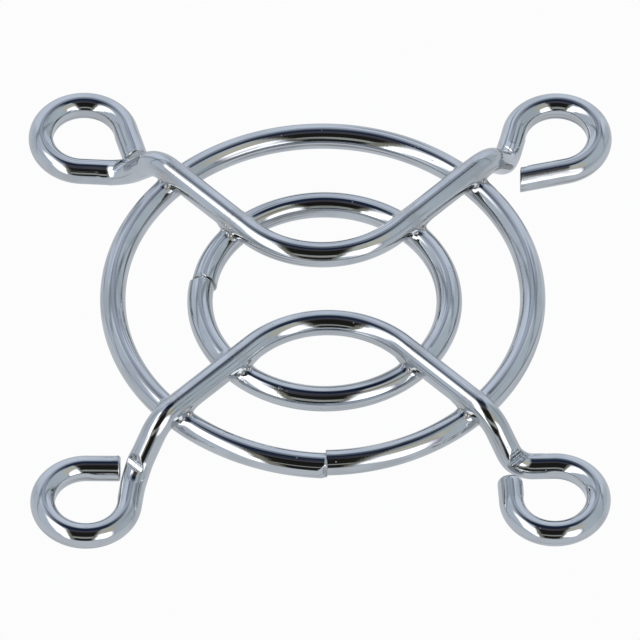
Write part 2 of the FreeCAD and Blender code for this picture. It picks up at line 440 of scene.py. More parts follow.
def wire_tree(name, inputs):
    """A Geometry Nodes tree that takes a geometry and named values, and gives a geometry."""
    tree = bpy.data.node_groups.new(name, "GeometryNodeTree")
    tree.interface.new_socket("Geometry", in_out="INPUT", socket_type="NodeSocketGeometry")
    for label, kind in inputs:
        tree.interface.new_socket(label, in_out="INPUT", socket_type=SOCKETS[kind])
    tree.interface.new_socket("Geometry", in_out="OUTPUT", socket_type="NodeSocketGeometry")
    nodes = Nodes(tree)
    return tree, nodes, nodes.add("NodeGroupInput").outputs, nodes.add("NodeGroupOutput").inputs


def several(which, inputs):
    """The same inputs for each of several places, such as the left and the right."""
    return [(f"{each} {label}", kind) for each in which for label, kind in inputs]


def place_group(nodes, tree, shape, given, which=""):
    """Puts a group into a piece's tree, fed by the piece's inputs of the same names, at one place if named."""
    group = nodes.add("GeometryNodeGroup")
    group.node_tree = tree
    nodes.put(group.inputs["Geometry"], shape)
    for socket in group.inputs[1:]:
        own = f"{which} {socket.name}"
        nodes.put(socket, given[own if own in given else socket.name])
    return group.outputs["Geometry"]


def drawn_wire_tree():
    """Sweeps round wire along a line. The drawing die leaves it very slightly uneven."""
    tree, n, given, out = wire_tree("drawn_wire", WIRE_INPUTS)
    line = n.add("GeometryNodeMeshToCurve", {"Mesh": given["Geometry"]}).outputs[0]
    along = n.add("GeometryNodeSplineParameter").outputs["Length"]
    line = n.stored(line, "wire_along", along, "FLOAT", "POINT")
    section = n.add("GeometryNodeCurvePrimitiveCircle", {
        "Resolution": given["Sides"], "Radius": n.times(given["Wire Diameter"], 0.5)}).outputs[0]
    section = n.stored(section, "wire_across", n.here(), "FLOAT_VECTOR", "POINT")
    tube = n.add("GeometryNodeCurveToMesh", {
        "Curve": line, "Profile Curve": section, "Scale": n.attribute("swell"), "Fill Caps": True})
    tube = n.smooth(tube.outputs[0])
    fold = n.add("GeometryNodeInputMeshEdgeAngle").outputs["Unsigned Angle"]
    tube = n.stored(tube, "sharp_edge", n.above(fold, SHARP_FOLD), "BOOLEAN", "EDGE")
    across = n.add("ShaderNodeSeparateXYZ", {"Vector": n.attribute("wire_across", "FLOAT_VECTOR")}).outputs
    apart = n.plus(n.attribute("wire_along"), n.times(given["Seed"], WIRE_APART))
    place = n.add("ShaderNodeCombineXYZ", {"X": apart, "Y": across["X"], "Z": across["Y"]}).outputs[0]
    tube = n.stored(tube, "wire_place", place, "FLOAT_VECTOR", "POINT")
    wave = n.clouds(n.vector("MULTIPLY", place, WAVER_STRETCH), given["Seed"],
                    n.over(1.0, given["Waver Length"]), 1.0)
    n.put(out["Geometry"], n.lifted(tube, n.times(n.minus(wave, 0.5), given["Waver"])))
    return tree


def press_mark_tree():
    """The bending tool's blunt nose: pressed into the wire, which spreads a little to both sides."""
    tree, n, given, out = wire_tree("press_mark", MARK_INPUTS + NOSE_INPUTS)
    off = n.vector("SUBTRACT", n.here(), given["Valley"])
    run, height, side = (n.vector("DOT_PRODUCT", off, given[way]) for way in ("Along", "Outward", "Across"))
    soft = given["Soft Edge"]
    past_nose = n.math("SMOOTH_MAX", n.minus(n.math("ABSOLUTE", run), n.times(given["Nose"], 0.5)), 0.0, soft)
    ridge = n.times(n.math("SINE", n.over(run, RIDGE_PITCH / math.tau)), given["Ridges"])
    ahead = n.above(run, 0.0)
    slope = n.plus(n.times(ahead, given["Flank Ahead"]), n.times(n.minus(1.0, ahead), given["Flank Behind"]))
    pressed = n.math("SMOOTH_MIN", height, n.plus(n.times(past_nose, slope), ridge), soft)
    down = n.scaled(given["Outward"], n.minus(pressed, height))
    share = n.over(run, given["Reach"])
    fade = n.math("EXPONENT", n.times(n.times(share, share), -1.0))
    wider = n.scaled(given["Across"], n.times(n.times(side, given["Spread"]), fade))
    near = n.below(n.vector("LENGTH", off), n.times(given["Reach"], 2.5))
    n.put(out["Geometry"], n.moved(given["Geometry"], n.vector("ADD", down, wider), near))
    return tree


def pin_land_tree():
    """The pin that an eye is curled on rubs a narrow upright land on the wire that touches it."""
    tree, n, given, out = wire_tree("pin_land", PIN_INPUTS + [("Pin Radius", "length")])
    off = n.vector("MULTIPLY", n.vector("SUBTRACT", n.here(), given["Pin Middle"]), LEVEL)
    push = n.minus(given["Pin Radius"], n.vector("LENGTH", off))
    move = n.scaled(n.vector("NORMALIZE", off), push)
    n.put(out["Geometry"], n.moved(given["Geometry"], move, n.above(push, 0.0)))
    return tree


def slanted_end_tree():
    """The cropping blades leave an end that isn't quite square to the wire."""
    tree, n, given, out = wire_tree("slanted_end", END_INPUTS + [("Slant Reach", "length")])
    way = given["End Way"]
    off = n.vector("SUBTRACT", n.here(), given["End Place"])
    back = n.times(n.vector("DOT_PRODUCT", off, way), -1.0)
    lateral = n.vector("DOT_PRODUCT", off, n.vector("CROSS_PRODUCT", (0.0, 0.0, 1.0), way))
    share = n.math("MAXIMUM", n.minus(1.0, n.over(back, given["Slant Reach"])), 0.0)
    push = n.times(n.times(lateral, given["Slant"]), share)
    aside = n.vector("LENGTH", n.vector("ADD", off, n.scaled(way, back)))
    near = n.times(n.below(aside, WIRE_R * 1.03), n.above(back, -0.02 * MM))
    n.put(out["Geometry"], n.moved(given["Geometry"], n.scaled(way, push), near))
    return tree


def swollen(n, given, far, chosen=True):
    """Moves a wire's surface out where the middle line of the wire it is welded to is near."""
    lumps = n.clouds(n.here(), given["Seed"], FILLET_LUMPS_PER_METRE, 2.0)
    size = n.times(given["Fillet"], n.plus(n.times(lumps, FILLET_UNEVEN), FILLET_LEAST))
    gap = n.minus(far, n.times(given["Wire Diameter"], 0.5))
    share = n.math("MINIMUM", n.math("MAXIMUM", n.over(n.minus(size, gap), size), 0.0), 1.0)
    return n.lifted(given["Geometry"], n.times(n.times(share, share), n.times(size, FILLET_RISE)), chosen)


def arm_fillet_tree():
    """Weld metal fills the crevice on a ring, on both sides of the leg's straight arm."""
    tree, n, given, out = wire_tree("arm_fillet", ARM_INPUTS + FILLET_INPUTS)
    off = n.vector("SUBTRACT", n.here(), given["Arm Start"])
    run = n.vector("DOT_PRODUCT", off, given["Arm Way"])
    far = n.vector("LENGTH", n.vector("SUBTRACT", off, n.scaled(given["Arm Way"], run)))
    n.put(out["Geometry"], swollen(n, given, far, n.above(run, 0.0)))
    return tree


def ring_fillet_tree():
    """Weld metal fills the crevice on a leg, on both sides of the ring it lies across."""
    tree, n, given, out = wire_tree("ring_fillet", RING_INPUTS + FILLET_INPUTS)
    off = n.vector("SUBTRACT", n.here(), given["Ring Middle"])
    beyond = n.minus(n.vector("LENGTH", n.vector("MULTIPLY", off, LEVEL)), given["Ring Radius"])
    height = n.add("ShaderNodeSeparateXYZ", {"Vector": off}).outputs["Z"]
    far = n.math("SQRT", n.plus(n.times(beyond, beyond), n.times(height, height)))
    n.put(out["Geometry"], swollen(n, given, far))
    return tree


def plating_specks_tree():
    """Specks of plating that grew in a rough patch: small flat lumps scattered over the wire there."""
    tree, n, given, out = wire_tree("plating_specks", PATCH_INPUTS + [
        ("Speck Size", "length"), ("Crowding", "number"), ("Bead Seed", "count")])
    seed = given["Bead Seed"]
    far = n.vector("LENGTH", n.vector("SUBTRACT", n.here(), given["Patch Middle"]))
    share = n.math("MAXIMUM", n.minus(1.0, n.over(far, given["Patch Reach"])), 0.0)
    spots = n.add("GeometryNodeDistributePointsOnFaces", {
        "Mesh": given["Geometry"], "Density": n.times(given["Crowding"], share), "Seed": seed}).outputs
    ball = n.add("GeometryNodeMeshIcoSphere", {"Radius": 0.5, "Subdivisions": 2}).outputs["Mesh"]
    ball = n.add("GeometryNodeTransform", {"Geometry": ball, "Scale": (1.0, 1.0, SPECK_FLATNESS)}).outputs[0]
    bulk = n.add("FunctionNodeRandomValue", {"Min": SMALLEST_SPECK, "Max": 1.0, "Seed": seed},
                 data_type="FLOAT").outputs[1]
    specks = n.add("GeometryNodeInstanceOnPoints", {
        "Points": spots["Points"], "Instance": ball, "Rotation": spots["Rotation"],
        "Scale": n.times(bulk, given["Speck Size"])}).outputs[0]
    n.put(out["Geometry"], n.as_beads(n.realized(specks)))
    return tree


def weld_beads_tree():
    """Small lumps of metal on the line's loose points, each lumpy in its own way."""
    tree, n, given, out = wire_tree("weld_beads", [("Lumpiness", "number"), ("Bead Seed", "count")])
    size = n.attribute("bead_size")
    ball = n.add("GeometryNodeMeshIcoSphere", {"Radius": 0.5, "Subdivisions": 4}).outputs["Mesh"]
    turn = n.add("FunctionNodeRandomValue", {"Max": (6.28, 6.28, 6.28), "Seed": given["Bead Seed"]},
                 data_type="FLOAT_VECTOR").outputs["Value"]
    lumps = n.realized(n.add("GeometryNodeInstanceOnPoints", {
        "Points": given["Geometry"], "Selection": n.above(size, 0.0), "Instance": ball, "Rotation": turn,
        "Scale": size}).outputs[0])
    wave = n.clouds(n.here(), n.times(given["Bead Seed"], 1.7), BEAD_LUMPS_PER_METRE, 2.0)
    n.put(out["Geometry"], n.as_beads(n.lifted(lumps, n.times(n.minus(wave, 0.5), given["Lumpiness"]))))
    return tree


def finish_tree(n, shape, given, out):
    """Ends a piece's tree: plain geometry, then the materials of wire, beads and the many-sided cut faces."""
    shape = n.realized(shape)
    face = n.add("GeometryNodeInputIndex").outputs[0]
    sides = n.add("GeometryNodeCornersOfFace", {"Face Index": face}).outputs["Total"]
    for finish, chosen in (("Wire Finish", True), ("Bead Finish", n.attribute("is_bead", "BOOLEAN")),
                           ("Cut Finish", n.above(sides, 4.5))):
        shape = n.add("GeometryNodeSetMaterial", {
            "Geometry": shape, "Selection": chosen, "Material": given[finish]}).outputs[0]
    n.put(out["Geometry"], shape)


SIDES = ("Left", "Right")
RING_NAMES = ("Outer", "Inner")
ARM_NAMES = [f"Arm {k}" for k in range(4)]
PATCH_NAMES = [f"Patch {k}" for k in range(2)]


def leg_tree(drawn_wire, press_mark, pin_land, slanted_end, ring_fillet):
    """One leg: drawn wire with a press mark at each eye's bend, a land inside each eye, and weld metal."""
    tree, n, given, out = wire_tree("guard_leg", [
        *WIRE_INPUTS, *several(SIDES, MARK_INPUTS + PIN_INPUTS + END_INPUTS), *NOSE_INPUTS,
        *several(RING_NAMES, RING_INPUTS), ("Pin Radius", "length"), ("Slant Reach", "length"),
        ("Fillet", "length"), *FINISH_INPUTS])
    shape = place_group(n, drawn_wire, given["Geometry"], given)
    for side in SIDES:
        for group in (press_mark, pin_land, slanted_end):
            shape = place_group(n, group, shape, given, side)
    for ring in RING_NAMES:
        shape = place_group(n, ring_fillet, shape, given, ring)
    finish_tree(n, shape, given, out)
    return tree


def ring_tree(drawn_wire, slanted_end, press_mark, weld_beads, arm_fillet, plating_specks):
    """One ring: drawn wire, a core in its seam's groove, metal at its four welds, and rough patches."""
    tree, n, given, out = wire_tree("guard_ring", [
        *WIRE_INPUTS, *END_INPUTS, *MARK_INPUTS, *NOSE_INPUTS, *several(ARM_NAMES, ARM_INPUTS),
        *several(PATCH_NAMES, PATCH_INPUTS), ("Slant Reach", "length"), ("Fillet", "length"),
        ("Speck Size", "length"), ("Crowding", "number"), ("Lumpiness", "number"), ("Bead Seed", "count"),
        *FINISH_INPUTS])
    wire = given["Geometry"]
    for group in (drawn_wire, slanted_end, press_mark):
        wire = place_group(n, group, wire, given)
    for arm in ARM_NAMES:
        wire = place_group(n, arm_fillet, wire, given, arm)
    parts = [wire, place_group(n, weld_beads, given["Geometry"], given)]
    parts += [place_group(n, plating_specks, wire, given, patch) for patch in PATCH_NAMES]
    whole = n.add("GeometryNodeJoinGeometry")
    for part in parts:
        n.tree.links.new(part, whole.inputs[0])
    finish_tree(n, whole.outputs[0], given, out)
    return tree


# Finishes: where each effect starts to show and where it is full, in its own noise

HAIRS_SHOW = (0.55, 0.64)
HAIRY_STRETCH = (0.42, 0.62)
PIT_EDGE = (0.2, 0.5)
PIT_CHANCE = 0.72
SMUDGES_SHOW = (0.42, 0.68)
SCRATCH_EDGE = (0.004, 0.02)
SCRATCHES_SHOW = (0.5, 0.6)
WEAR_SHOWS = (0.9, 1.35)

# How dark each mark is, as a share of the metal's colour
HAIR_TINT, SMUDGE_TINT, PIT_TINT = 0.5, 0.86, 0.45

FINISHES = {
    "plated_wire": {"colour": (0.612, 0.633, 0.653), "worn": (0.52, 0.52, 0.52), "roughness": 0.045,
                    "dulling": 0.05, "lines": 0.014 * MM, "peel": 0.0010 * MM, "work": 0.005 * MM},
    "cropped_end": {"colour": (0.581, 0.597, 0.612), "worn": (0.447, 0.436, 0.425), "roughness": 0.12,
                    "dulling": 0.12, "lines": 0.002 * MM, "peel": 0.0020 * MM, "work": 0.012 * MM},
    "weld_bead": {"colour": (0.591, 0.607, 0.622), "worn": (0.467, 0.457, 0.446), "roughness": 0.2,
                  "dulling": 0.10, "lines": 0.0, "peel": 0.0040 * MM, "work": 0.016 * MM},
}
MARK_SIZES = {
    "die_lines": {"Pitch": 0.17 * MM},
    "plating_grain": {"Size": 0.14 * MM, "Pit Spacing": 0.55 * MM, "Pit Size": 0.09 * MM,
                      "Pit Depth": 0.008 * MM},
    "handling_marks": {"Smudge Size": 2.6 * MM, "Scratch Spacing": 1.9 * MM, "Scratch Depth": 0.0003 * MM},
    "edge_wear": {"Patch Size": 0.3 * MM, "Reach": 0.75},
}


def laid_over(n, below, colour, share):
    """One colour with another laid over it in part."""
    mix = n.add("ShaderNodeMix", {"Factor": share}, data_type="RGBA")
    n.put(mix.inputs["A"], below)
    n.put(mix.inputs["B"], colour)
    return mix.outputs["Result"]


def finish_group(name, inputs, outputs):
    """A shader node group with named values going in and out."""
    tree = bpy.data.node_groups.new(name, "ShaderNodeTree")
    for labels, way in ((inputs, "INPUT"), (outputs, "OUTPUT")):
        for label in labels:
            tree.interface.new_socket(label, in_out=way, socket_type=SOCKETS["number"])
    nodes = Nodes(tree)
    return tree, nodes, nodes.add("NodeGroupInput").outputs, nodes.add("NodeGroupOutput").inputs


def noise(n, place, size, detail=2.0):
    """Cloudy noise whose lumps are about as wide as the size that is given."""
    scale = n.over(1.0, size)
    return n.add("ShaderNodeTexNoise", {"Vector": place, "Scale": scale, "Detail": detail}).outputs[0]


def ramp(n, value, limits):
    """0 below the first limit, 1 above the second, and a soft rise between them."""
    rise = n.add("ShaderNodeMapRange", {"Value": value, "From Min": limits[0], "From Max": limits[1]},
                 interpolation_type="SMOOTHSTEP")
    return rise.outputs["Result"]


def stretched(n, place, along, across=1.0, up=1.0):
    return n.vector("MULTIPLY", place, (along, across, up))


def die_lines_group():
    """Lines that the drawing die leaves along the wire: broad shallow ones, and dark hairs here and there."""
    tree, n, given, out = finish_group("die_lines", ["Pitch", "Depth"], ["Height", "Hairs"])
    place = n.add("ShaderNodeAttribute", attribute_name="wire_place").outputs["Vector"]
    worked = n.add("ShaderNodeAttribute", attribute_name="worked").outputs["Fac"]
    drawn = stretched(n, place, 0.01)
    broad = noise(n, drawn, given["Pitch"], 0.0)
    fine = noise(n, drawn, n.times(given["Pitch"], 0.75), 0.0)
    lines = n.plus(n.times(broad, 0.75), n.times(fine, 0.25))
    stretch = ramp(n, noise(n, stretched(n, place, 0.12), 0.9 * MM, 1.0), HAIRY_STRETCH)
    n.put(out["Height"], n.times(lines, given["Depth"]))
    n.put(out["Hairs"], n.times(ramp(n, fine, HAIRS_SHOW), n.math("MAXIMUM", stretch, worked)))
    return tree


def plating_grain_group():
    """The plating's own grain: a faint orange peel, and a few pits where it didn't take."""
    tree, n, given, out = finish_group(
        "plating_grain", ["Size", "Depth", "Pit Spacing", "Pit Size", "Pit Depth"], ["Height", "Pits"])
    here = n.add("ShaderNodeTexCoord").outputs["Object"]
    cell = n.add("ShaderNodeTexVoronoi", {"Vector": here, "Scale": n.over(1.0, given["Pit Spacing"])}).outputs
    bare = n.over(n.times(cell["Distance"], given["Pit Spacing"]), given["Pit Size"])
    chance = n.add("ShaderNodeSeparateColor", {"Color": cell["Color"]}).outputs[0]
    pits = n.times(n.minus(1.0, ramp(n, bare, PIT_EDGE)), n.above(chance, PIT_CHANCE))
    peel = noise(n, here, given["Size"])
    n.put(out["Height"], n.minus(n.times(peel, given["Depth"]), n.times(pits, given["Pit Depth"])))
    n.put(out["Pits"], pits)
    return tree


def handling_marks_group():
    """Dull smudges from fingers, and hair scratches that cross them."""
    tree, n, given, out = finish_group(
        "handling_marks", ["Smudge Size", "Scratch Spacing", "Scratch Depth"], ["Height", "Smudges"])
    here = n.add("ShaderNodeTexCoord").outputs["Object"]
    cloud = noise(n, here, given["Smudge Size"], 3.0)
    smear = noise(n, stretched(n, here, 1.0, 0.35, 0.6), n.times(given["Smudge Size"], 0.3), 2.0)
    sway = n.add("ShaderNodeTexNoise", {"Vector": here, "Scale": 900.0}).outputs["Color"]
    bent = n.vector("ADD", here, n.scaled(sway, 0.6 * MM))
    cell = n.add("ShaderNodeTexVoronoi", {
        "Vector": stretched(n, bent, 1.0, 0.3, 0.5), "Scale": n.over(1.0, given["Scratch Spacing"])},
        feature="DISTANCE_TO_EDGE").outputs["Distance"]
    scratch = n.times(n.minus(1.0, ramp(n, cell, SCRATCH_EDGE)), ramp(n, cloud, SCRATCHES_SHOW))
    n.put(out["Height"], n.times(scratch, n.times(given["Scratch Depth"], -1.0)))
    n.put(out["Smudges"], n.times(ramp(n, cloud, SMUDGES_SHOW), n.plus(0.35, smear)))
    return tree


def edge_wear_group():
    """Where tools, welds and cut edges worked the metal, the plating is thin and cloudy, in patches."""
    tree, n, given, out = finish_group("edge_wear", ["Patch Size", "Reach", "Depth"], ["Height", "Wear"])
    here = n.add("ShaderNodeTexCoord").outputs["Object"]
    worked = n.add("ShaderNodeAttribute", attribute_name="worked").outputs["Fac"]
    patches = noise(n, here, given["Patch Size"], 4.0)
    lumps = noise(n, here, n.times(given["Patch Size"], 0.6), 2.0)
    n.put(out["Height"], n.times(n.times(lumps, worked), given["Depth"]))
    n.put(out["Wear"], ramp(n, n.plus(n.times(worked, given["Reach"]), patches), WEAR_SHOWS))
    return tree


def metal_material(name, groups):
    """Bright nickel-chrome on steel wire, as one kind of surface of the guard shows it."""
    finish = FINISHES[name]
    material = bpy.data.materials.new(name)
    material.use_nodes = True
    shader = material.node_tree.nodes["Principled BSDF"].inputs
    shader["Metallic"].default_value = 1.0
    n = Nodes(material.node_tree)

    def marks(kind, **depth):
        group = n.add("ShaderNodeGroup")
        group.node_tree = groups[kind]
        for label, value in {**MARK_SIZES[kind], **depth}.items():
            n.put(group.inputs[label], value)
        return group.outputs

    def darker(colour, share=1.0):
        return (*(share * c for c in colour), 1.0)

    lines = marks("die_lines", Depth=finish["lines"])
    grain = marks("plating_grain", Depth=finish["peel"])
    handling = marks("handling_marks")
    wear = marks("edge_wear", Depth=finish["work"])
    shade = darker(finish["colour"])
    for over, share in ((darker(finish["colour"], HAIR_TINT), lines["Hairs"]),
                        (darker(finish["colour"], SMUDGE_TINT), handling["Smudges"]),
                        (darker(finish["worn"]), wear["Wear"]),
                        (darker(finish["worn"], PIT_TINT), grain["Pits"])):
        shade = laid_over(n, shade, over, share)
    n.put(shader["Base Color"], shade)
    dull = n.plus(handling["Smudges"], n.plus(wear["Wear"], grain["Pits"]))
    n.put(shader["Roughness"], n.plus(finish["roughness"], n.times(dull, finish["dulling"])))
    height = n.plus(n.plus(lines["Height"], grain["Height"]), n.plus(handling["Height"], wear["Height"]))
    bump = n.add("ShaderNodeBump", {"Height": height, "Distance": 1.0, "Strength": 1.0})
    n.put(shader["Normal"], bump.outputs[0])
    return material


def make_finishes():
    """The three kinds of surface: drawn and plated wire, its cropped ends, and weld metal."""
    groups = {tree.name: tree for tree in (
        die_lines_group(), plating_grain_group(), handling_marks_group(), edge_wear_group())}
    return {label: metal_material(name, groups) for (label, kind), name in zip(FINISH_INPUTS, FINISHES)}


# Pieces

def swelling(places, start_round, end_round):
    """How far the section is drawn in at a wire's two ends, so that their edges are rounded."""
    drawn = np.zeros(len(places))
    for ends, edge_round in ((places - places[0], start_round), (places[-1] - places, end_round)):
        inside = np.clip(edge_round - ends, 0, edge_round)
        drawn += edge_round - np.sqrt(edge_round ** 2 - inside ** 2)
    return 1 - drawn / WIRE_R


def workedness(line, welds, nicks=()):
    """How much the metal was worked along a wire: most at the welds, less at its cropped ends and nicks."""
    worked = np.zeros(len(line))
    for places, amount, reach in ((welds, 1.0, 1.1 * MM), ((line[0], line[-1]), 0.8, 0.35 * MM),
                                  (nicks, 0.3, 0.6 * MM)):
        for place in places:
            far = np.linalg.norm(line - place, axis=1)
            worked = np.maximum(worked, amount * np.exp(-(far / reach) ** 2))
    return worked


def linked(name, data):
    """A new object in the scene, with this mesh or camera."""
    made = bpy.data.objects.new(name, data)
    bpy.context.scene.collection.objects.link(made)
    return made


def wire_object(name, lines, beads=((), ())):
    """Lines of points as one mesh of edges, with values at each point, and loose points for beads."""
    points, edges, swell, worked = [], [], [], []
    for line, factor, touched in lines:
        first = len(points)
        points += list(line)
        edges += [(first + k, first + k + 1) for k in range(len(line) - 1)]
        swell += list(factor)
        worked += list(touched)
    places, sizes = beads
    bead_size = [0.0] * len(points) + list(sizes)
    points += list(places)
    swell += [1.0] * len(sizes)
    worked += [1.0] * len(sizes)
    mesh = bpy.data.meshes.new(name)
    mesh.from_pydata([tuple(p) for p in points], edges, [])
    for label, values in (("swell", swell), ("worked", worked), ("bead_size", bead_size)):
        mesh.attributes.new(label, "FLOAT", "POINT").data.foreach_set("value", np.array(values, np.float32))
    return linked(name, mesh)


def grown(made, tree, values):
    """Runs a tree on an object and keeps the result as its plain mesh."""
    modifier = made.modifiers.new("shape", "NODES")
    modifier.node_group = tree
    for item in tree.interface.items_tree:
        if item.in_out == "INPUT" and item.name in values:
            modifier[item.identifier] = values[item.name]
    depsgraph = bpy.context.evaluated_depsgraph_get()
    mesh = bpy.data.meshes.new_from_object(made.evaluated_get(depsgraph), preserve_all_data_layers=True,
                                           depsgraph=depsgraph)
    made.modifiers.clear()
    made.data = mesh
    return made


def named(which, values):
    """Values under the names that a piece's tree has for them at one of several places."""
    return {f"{which} {label}": value for label, value in values.items()}


def press_mark_values(corner, shift):
    """Where the bending tool pressed one crimp, as the part's source has it."""
    start, middle, end, _ = bend(eye_curl(corner)[0], crimp_point(corner),
                                 shoulder_point(corner, leg_apex(shift)), CRIMP_BEND_R)
    across = corner.turned(unit(np.array([1.0, -1.0, 0.0])))
    out = (start + end) / 2 - middle
    out = unit(out - across * (out @ across))
    out = out * math.cos(corner.nose_lean) - np.cross(across, out) * math.sin(corner.nose_lean)
    along = np.cross(across, out)
    valley = middle + out * (WIRE_R - corner.nick_depth) + along * corner.nick_place
    return {"Valley": valley, "Outward": out, "Along": along, "Across": across, "Ridges": corner.ridges,
            "Flank Ahead": FLANK_SLOPE * corner.leg_flank}


def end_values(end, next_one, slant):
    return {"End Place": end, "End Way": unit(end - next_one), "Slant": slant}


def build_leg(name, tree, seed, finishes):
    left, right, shift = LEGS[name]
    marks = [press_mark_values(corner, shift) for corner in (left, right)]
    valleys = [mark["Valley"] for mark in marks]
    line, places = stations(leg_line(left, right, shift), valleys)
    welds = [crossing(mean_d, ring_shift, corner, shift)[0] + (0, 0, WIRE_R)
             for mean_d, ring_shift, *_ in RINGS.values() for corner in (left, right)]
    made = wire_object(name + "_wire", [
        (line, swelling(places, left.end_round, right.end_round), workedness(line, welds, valleys))])
    values = {**DRAWN_WIRE, **LEG_NOSE, **finishes, "Seed": seed, "Pin Radius": SCREW_HOLE_D / 2,
              "Slant Reach": SLANT_REACH, "Fillet": LEG_FILLET}
    ends = (line[0], line[1]), (line[-1], line[-2])
    for side, corner, mark, (end, next_one) in zip(SIDES, (left, right), marks, ends):
        values.update(named(side, {**mark, **end_values(end, next_one, corner.end_slant),
                                   "Pin Middle": corner.turned(corner.centre())}))
    for ring, (mean_d, ring_shift, *_) in zip(RING_NAMES, RINGS.values()):
        values.update(named(ring, {"Ring Middle": ring_middle(ring_shift), "Ring Radius": mean_d / 2}))
    return grown(made, tree, values)


def seam_nick_values(name):
    """Where the weld at a ring's seam left a nick: tilt 0 is on the outside of the ring, and 90 on top."""
    mean_d, shift, *_ = RINGS[name]
    nick = SEAM_NICKS[name]
    centre = ring_middle(shift)
    place = level_arc(centre, mean_d / 2, nick["angle"], nick["angle"], 1)[0]
    away = unit(place - centre)
    tilt = math.radians(nick["tilt"])
    out = away * math.cos(tilt) + np.array([0.0, 0.0, math.sin(tilt)])
    along = np.cross([0.0, 0.0, 1.0], away)
    return {"Valley": place + out * (WIRE_R - nick["depth"]), "Outward": out, "Along": along,
            "Across": np.cross(out, along), "Flank Ahead": nick["ahead"], "Flank Behind": nick["behind"]}


def build_ring(name, tree, seed, finishes):
    mean_d, shift, seam_angle, step = RINGS[name]
    ends = RING_ENDS[name]
    line, places = stations(ring_line(mean_d, shift, seam_angle, step, ends["reach"]), [])
    core = seam_core_line(mean_d - step, shift, seam_angle)
    values = {**DRAWN_WIRE, **SEAM_NOSE, **seam_nick_values(name), **finishes, "Seed": seed,
              **end_values(line[-1], line[-2], ends["slant"]), "Slant Reach": SLANT_REACH,
              "Fillet": RING_FILLET, "Lumpiness": BEAD_LUMPINESS, "Bead Seed": FIRST_BEAD_SEED + int(seed),
              "Speck Size": SPECK_SIZE, "Crowding": SPECKS_PER_SQUARE_METRE}
    crossings = []
    for left, right, leg_shift in LEGS.values():
        for corner in (left, right):
            place, way, _ = crossing(mean_d, shift, corner, leg_shift)
            arm = ARM_NAMES[len(crossings)]
            values.update(named(arm, {"Arm Start": leg_apex(leg_shift), "Arm Way": way}))
            crossings.append(place)
    for patch, (angle, reach) in zip(PATCH_NAMES, ROUGH_PATCHES[name]):
        middle = level_arc(ring_middle(shift, RING_Z + WIRE_R), mean_d / 2, angle, angle, 1)[0]
        values.update(named(patch, {"Patch Middle": middle, "Patch Reach": reach * MM}))
    made = wire_object(name + "_wire", [
        (line, swelling(places, *ends["round"]), workedness(line, crossings)),
        (core, np.full(len(core), SEAM_CORE_D / WIRE_D), np.ones(len(core)))], bead_places(mean_d, shift))
    return grown(made, tree, values)


finishes = make_finishes()
drawn_wire = drawn_wire_tree()
slanted_end = slanted_end_tree()
press_mark = press_mark_tree()
leg_shape = leg_tree(drawn_wire, press_mark, pin_land_tree(), slanted_end, ring_fillet_tree())
ring_shape = ring_tree(drawn_wire, slanted_end, press_mark, weld_beads_tree(), arm_fillet_tree(),
                       plating_specks_tree())
for seed, name in enumerate([*RINGS, *LEGS]):
    if name in RINGS:
        piece = build_ring(name, ring_shape, float(seed), finishes)
    else:
        piece = build_leg(name, leg_shape, float(seed), finishes)
    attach(piece, "root")
    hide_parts(name)
    triangles = sum(len(p.vertices) - 2 for p in piece.data.polygons)
    print(name, len(piece.data.vertices), "vertices", triangles, "triangles")


# Floor, light and camera

CAMERA_AWAY = 1.6667
CAMERA_RAISED = 51.1
CAMERA_LENS, CAMERA_SENSOR = 1368.8, 36.0
CAMERA_SEES = (0.1, 10.0)
AIM = Vector((-0.137 * MM, 0.381 * MM, 0.308 * MM))
FLOOR_HALF = 3.0
FLOOR_DROP = 0.02 * MM

# The tent round the part: its surroundings are what chrome shows

RAY_COLOURS = {
    "left_wall": (0.60, 0.66, 0.75),
    "right_wall": (0.54, 0.61, 0.67),
    "rear_wall": (0.74, 0.81, 0.94),
    "fold": (0.28, 0.33, 0.37),
    "left_box": (2.3, 2.3, 2.25),
    "right_box": (2.1, 2.1, 2.15),
    "right_box_rim": (0.40, 0.37, 0.46),
    "right_box_top": (0.62, 0.60, 0.50),
    "frame": (0.27, 0.26, 0.22),
    "gap": (0.017, 0.016, 0.015),
    "dusk": (0.075, 0.072, 0.09),
    "hood": (0.013, 0.024, 0.056),
    "front_edge": (0.40, 0.42, 0.39),
    "card": (0.66, 0.69, 0.73),
}
SEEN_WHITE = (0.975, 0.975, 0.98, 1.0)

# Directions in degrees: azimuth and elevation of the panels' corners, and of two places along each side
LEFT_BOX = [(-59, 64), (-60, 47), (-106, 38), (-136, 7), (-153, 4), (-152, 30), (-87, 69)]
RIGHT_BOX = [(150, 51), (127, 38), (132, 10), (144, 1), (166, 13)]
RIGHT_BOX_RIM = [(150, 53), (123, 39), (127, 9), (144, -2), (168, 12)]
RIGHT_BOX_TOP = [(96, 78), (92, 60), (118, 35), (140, 34), (157, 40)]
REAR_WALL = [(-40, -5), (-40, 48), (-24, 66), (24, 66), (40, 48), (40, -5)]
GAP_SIDES = [((-49.6, 74.6), (-157.6, 20.8)), ((77.5, 79.4), (169.6, 17.4))]
FRAME_SIDES = [((-65, 74.9), (-154.5, 4)), ((95.6, 78.1), (165.6, 15.1))]
HOOD_SIDES = [((0, 0), (-48, 67)), ((0, 0), (48, 67))]
RIGHT_FOLD_SIDE = [((0, 0), (14, 50))]
LEFT_FOLD_SIDE = [((0, 0), (-14, 50))]
IN_FRONT, OVERHEAD, ON_THE_RIGHT, ON_THE_LEFT = (180, 45), (0, 80), (60, 40), (-60, 40)


def heading(azimuth, elevation):
    """A direction: azimuth 0 is the guard's rear side and 90 its right, elevation is above the floor."""
    a, e = math.radians(azimuth), math.radians(elevation)
    return Vector((math.sin(a) * math.cos(e), math.cos(a) * math.cos(e), math.sin(e)))


